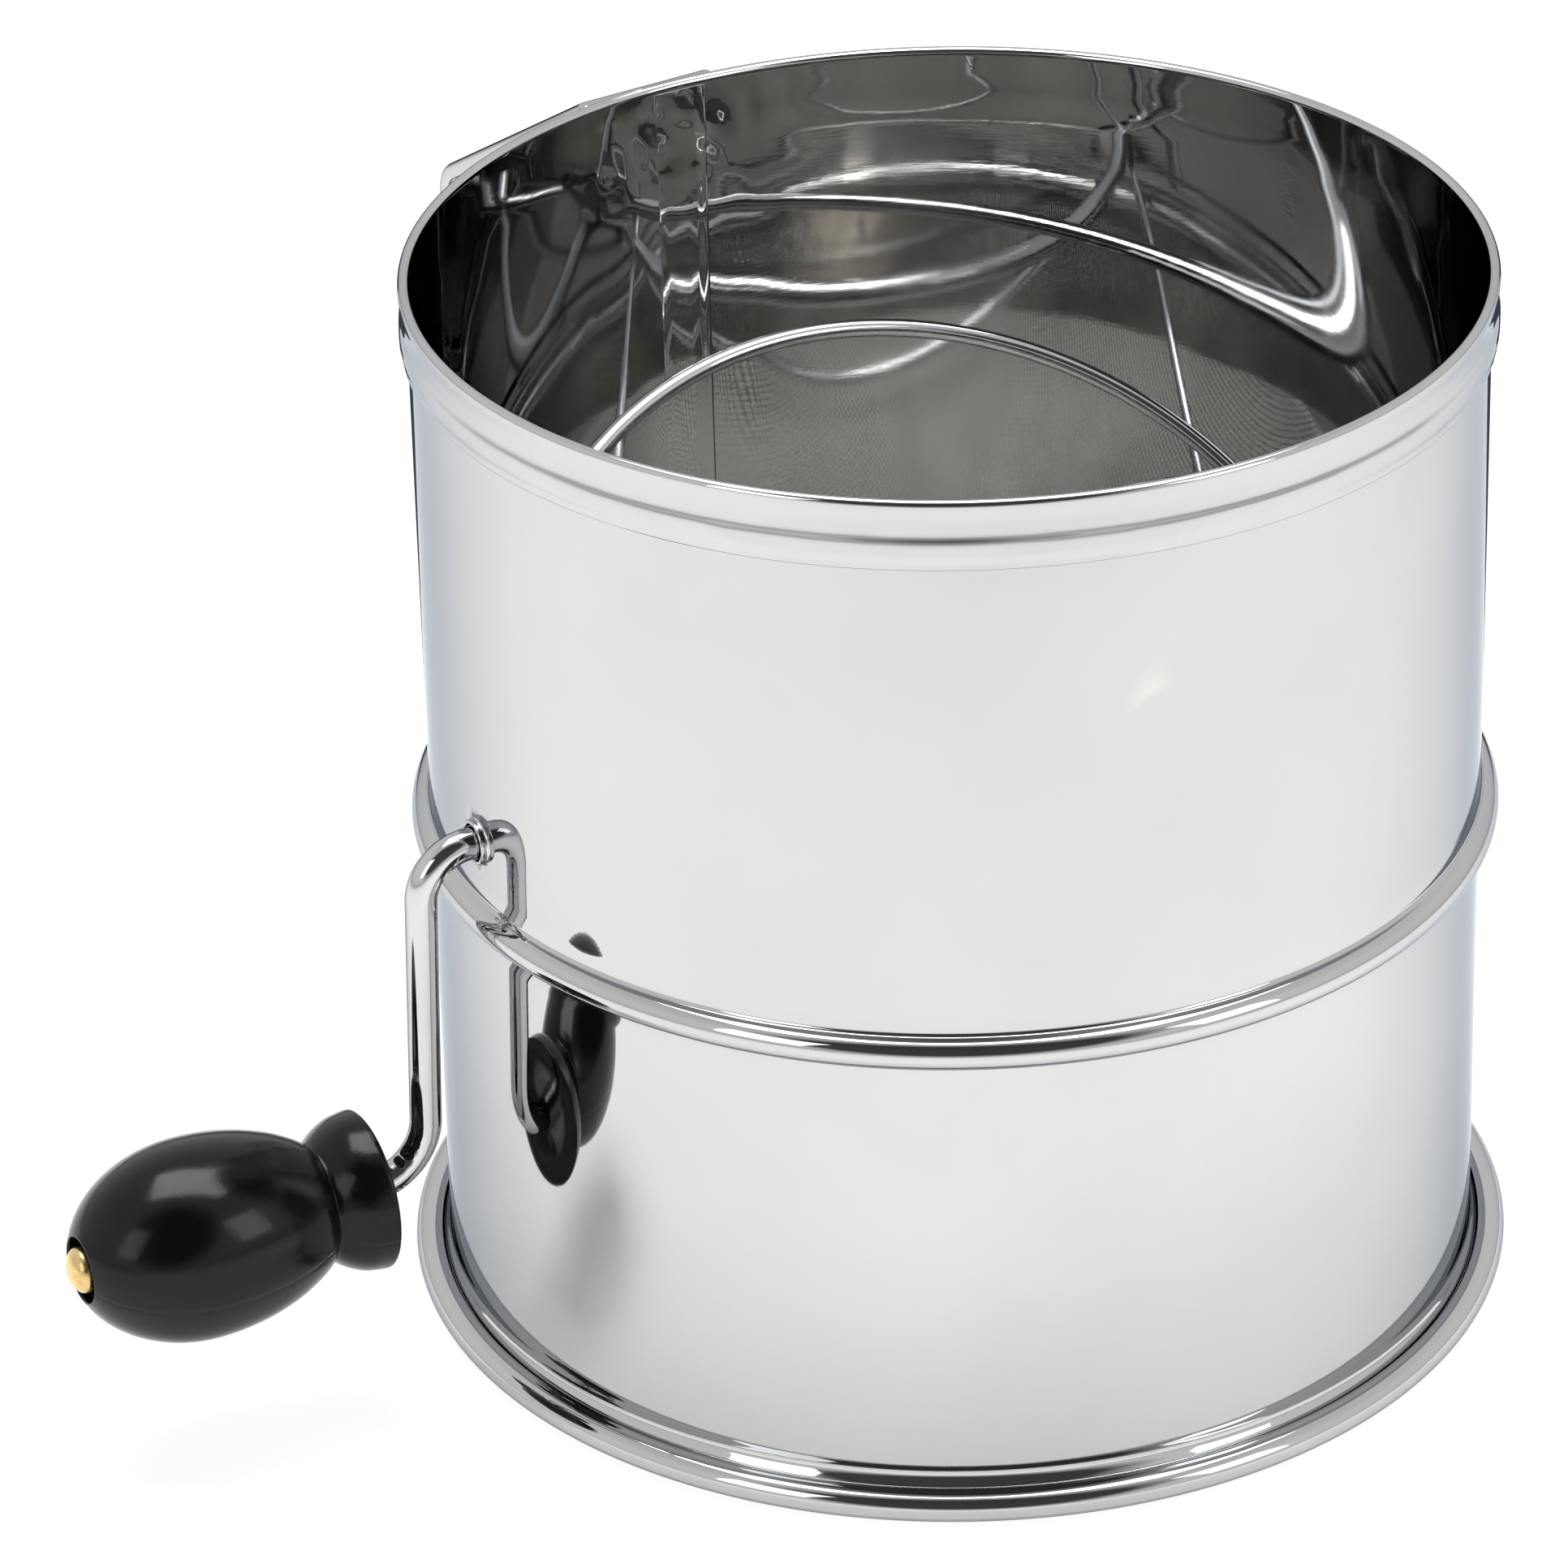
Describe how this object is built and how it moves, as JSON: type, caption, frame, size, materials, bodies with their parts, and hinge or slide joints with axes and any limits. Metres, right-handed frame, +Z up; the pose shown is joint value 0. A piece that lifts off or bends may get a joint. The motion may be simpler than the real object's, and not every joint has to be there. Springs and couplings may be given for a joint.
{
  "type": "flour sifter",
  "caption": "Hand-crank flour sifter with a polished stainless body, a round-bottomed mesh screen, a wire agitator, a black knob and a strap handle.",
  "frame": {"origin": "centre of the foot ring on the floor plane", "axes": "+Z up along the body's axis of symmetry; X along the crank shaft, the crank at -X; +Y towards the strap handle"},
  "size_m": [0.2407, 0.2224, 0.1718],
  "materials": {
    "body_steel": "mirror-polished stainless sheet",
    "mesh_steel": "woven stainless wire cloth",
    "rod_steel": "bright plated wire and rod",
    "knob_black": "glossy black moulding",
    "cap_brass": "satin brass"
  },
  "bodies": {
    "sifter": {"body_shell": "body_steel", "base_wire": "rod_steel", "mesh_bowl": "mesh_steel", "screen_band": "body_steel", "strap_handle": "body_steel"},
    "crank": {"crank_rod": "rod_steel", "agitator_wire_1": "rod_steel", "agitator_wire_2": "rod_steel", "agitator_wire_3": "rod_steel", "agitator_wire_4": "rod_steel", "shaft_end_washer": "rod_steel", "knob_cap": "cap_brass"},
    "knob": {"knob": "knob_black"}
  },
  "joints": [
    {"name": "crank_spin", "type": "hinge", "parent": "sifter", "child": "crank", "pos_m": [0, 0, 0.0935], "axis": [1, 0, 0], "continuous": true},
    {"name": "knob_spin", "type": "hinge", "parent": "crank", "child": "knob", "pos_m": [-0.1025, 0.00353, 0.03581], "axis": [1, 0, 0], "continuous": true}
  ]
}
